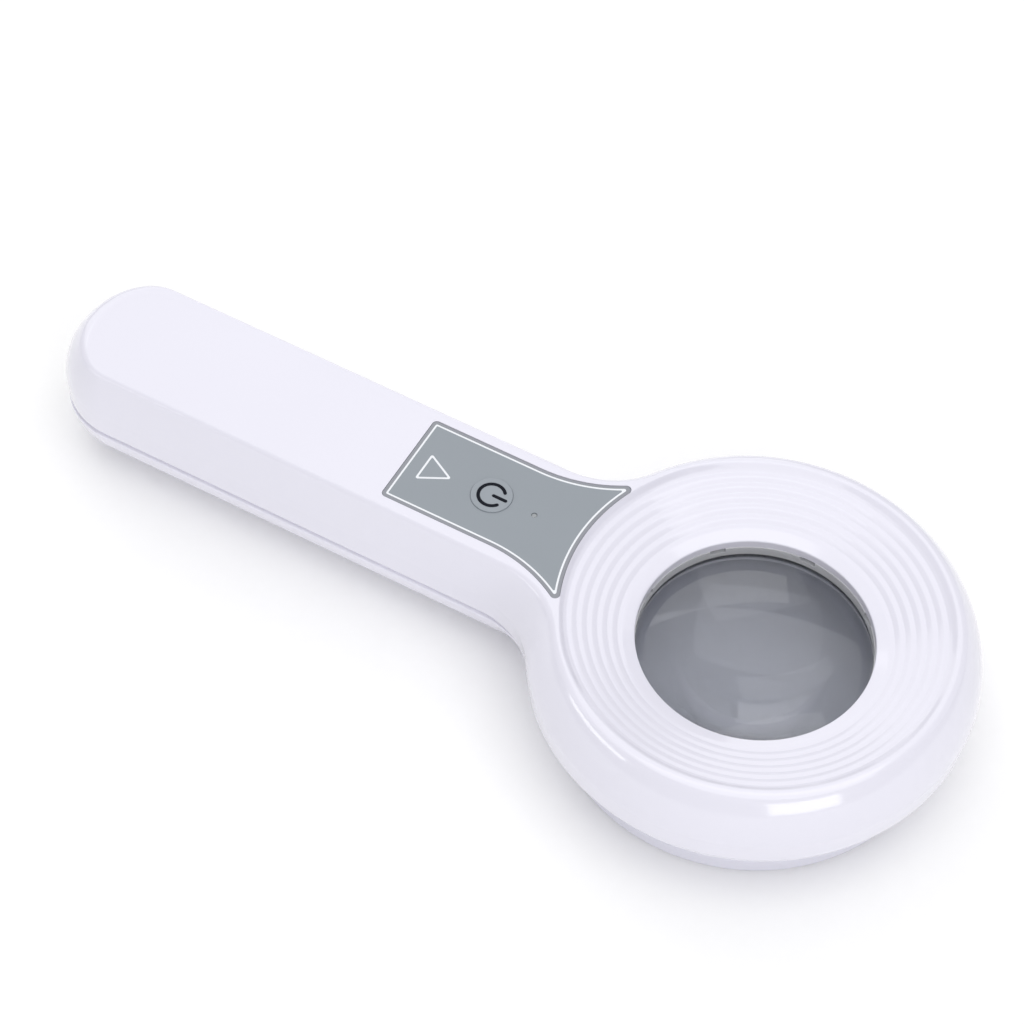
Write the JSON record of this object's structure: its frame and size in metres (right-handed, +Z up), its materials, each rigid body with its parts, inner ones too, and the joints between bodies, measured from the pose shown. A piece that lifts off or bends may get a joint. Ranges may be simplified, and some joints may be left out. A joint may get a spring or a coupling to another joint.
{
  "type": "low vision magnifier",
  "caption": "Hand-held lit magnifier: a round head with a dished, grooved rim, a lens over a ring light and a base ring, on a battery handle with a power button.",
  "frame": {"origin": "on the optical axis, in the plane of the base ring's underside, where the object rests", "axes": "+Z up along the optical axis, out of the viewed side; the handle runs along -X; +Y completes a right-handed frame"},
  "size_m": [0.2709, 0.12, 0.0403],
  "materials": {
    "white_shell": "glossy moulded white plastic with a faint lavender tint",
    "lower_shell": "glossy moulded white plastic",
    "ring_plastic": "glossy moulded white plastic",
    "lens_glass": "polished clear lens",
    "clear_plastic": "clear moulded plastic",
    "gasket_rubber": "matt soft rubber",
    "retainer_plastic": "satin white plastic",
    "window_plastic": "frosted translucent plastic",
    "board_green": "green solder mask on glass-fibre board",
    "lamp_chip": "white lamp chips with a yellow phosphor",
    "resistor_black": "small black chips with tinned ends",
    "screw_steel": "zinc-plated steel",
    "panel_film": "printed grey film with a pale keyline",
    "button_film": "printed grey film with a dark power symbol",
    "switch_black": "matt black plastic",
    "plunger_plastic": "matt black plastic",
    "light_pipe": "clear plastic",
    "indicator_chip": "small clear lamp chip",
    "chip_black": "black epoxy with tinned legs",
    "inductor_copper": "copper winding between grey ferrite flanges",
    "capacitor_tan": "tan ceramic with tinned ends",
    "plug_white": "natural nylon",
    "cell_steel": "plated can of a lithium cell",
    "cell_sleeve": "shrunk blue film",
    "nickel": "welded nickel strip",
    "foam": "closed-cell foam",
    "wire_insulation": "red and black insulated wire",
    "socket_black": "black moulded plastic",
    "pin_brass": "plated contact pin"
  },
  "bodies": {
    "housing": {"upper_housing": "white_shell", "lower_housing": "lower_shell", "base_ring": "ring_plastic", "lens": "lens_glass", "lens_ring": "clear_plastic", "lens_gasket": "gasket_rubber", "lens_retainer": "retainer_plastic", "light_window": "window_plastic", "lamp_board": "board_green", "lamps": "lamp_chip", "lamp_resistors": "resistor_black", "lamp_board_screws": "screw_steel", "panel_sheet": "panel_film", "switch_body": "switch_black", "indicator_pipe": "light_pipe", "indicator_lamp": "indicator_chip", "main_board": "board_green", "charge_chip": "chip_black", "driver_chip": "chip_black", "inductor": "inductor_copper", "board_capacitors": "capacitor_tan", "board_screws": "screw_steel", "lamp_plug": "plug_white", "battery_plug": "plug_white", "socket_plug": "plug_white", "battery_cell": "cell_steel", "battery_sleeve": "cell_sleeve", "battery_tabs": "nickel", "battery_pads": "foam", "battery_leads": "wire_insulation", "lamp_leads": "wire_insulation", "socket_leads": "wire_insulation", "charging_socket": "socket_black", "socket_pin": "pin_brass", "housing_screws": "screw_steel", "head_screws": "screw_steel"},
    "power_button": {"power_button": "button_film", "switch_plunger": "plunger_plastic"}
  },
  "joints": [
    {"name": "power_press", "type": "slide", "parent": "housing", "child": "power_button", "axis": [0, 0, -1], "range_m": [0, 0.0004], "stiffness_N_per_m": 2500}
  ]
}
